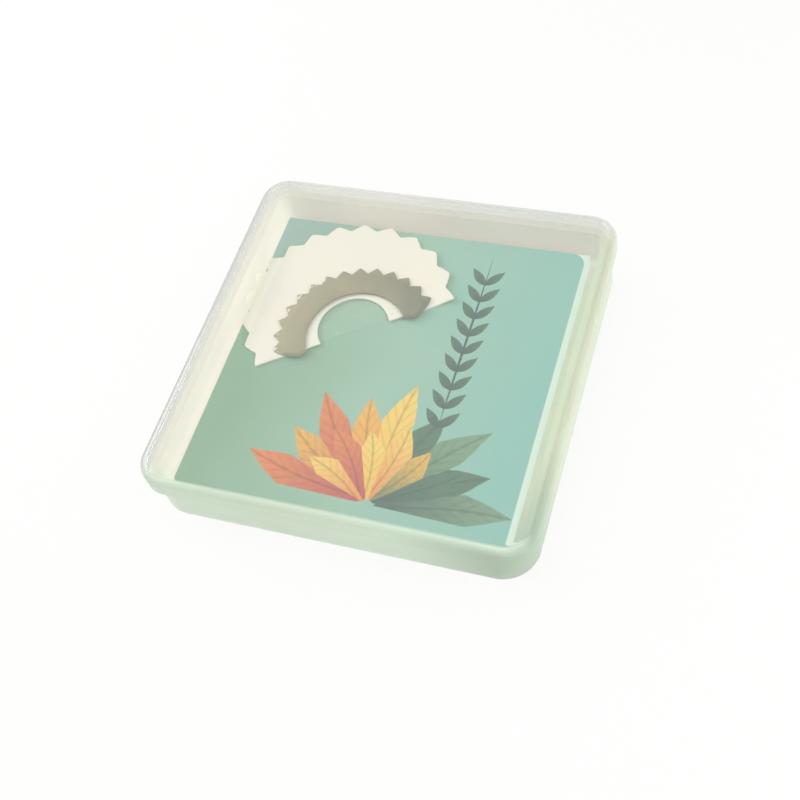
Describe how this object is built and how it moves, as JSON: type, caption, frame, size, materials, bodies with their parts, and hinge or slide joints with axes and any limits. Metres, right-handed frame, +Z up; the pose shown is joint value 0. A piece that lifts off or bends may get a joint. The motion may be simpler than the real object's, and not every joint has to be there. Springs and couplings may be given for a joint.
{
  "type": "bird call in a pocket case",
  "caption": "Half-moon mouth bird call with a film reed, lying on a folded leaflet in a clear push-on case.",
  "frame": {"origin": "middle of the case's underside, on the surface that it stands on", "axes": "+Z up through the lid, +Y to the back of the case, +X to its right; the call lies at the back left"},
  "size_m": [0.06, 0.06, 0.0108],
  "materials": {
    "tray_plastic": "clear, slightly milky",
    "lid_plastic": "clear, slightly milky",
    "leaflet_paper": "coated, printed",
    "skirt_sheet": "satin",
    "frame_metal": "satin",
    "reed_film": "clear film",
    "cover_leather": "smooth, matt"
  },
  "bodies": {
    "tray": {"case_tray": "tray_plastic"},
    "lid": {"case_lid": "lid_plastic"},
    "leaflet": {"leaflet": "leaflet_paper"},
    "call": {"call_skirt": "skirt_sheet", "call_frame": "frame_metal", "call_film": "reed_film", "call_cover": "cover_leather"}
  },
  "joints": [
    {"name": "lid_lift", "type": "slide", "parent": "tray", "child": "lid", "axis": [0, 0, 1], "range_m": [0, 0.06]},
    {"name": "call_lift", "type": "slide", "parent": "tray", "child": "call", "axis": [0, 0, 1], "range_m": [0, 0.036]},
    {"name": "leaflet_lift", "type": "slide", "parent": "tray", "child": "leaflet", "axis": [0, 0, 1], "range_m": [0, 0.018]}
  ],
  "couplings": [
    {"joint": "call_lift", "follows": "lid_lift", "ratio": 0.6},
    {"joint": "leaflet_lift", "follows": "lid_lift", "ratio": 0.3}
  ]
}
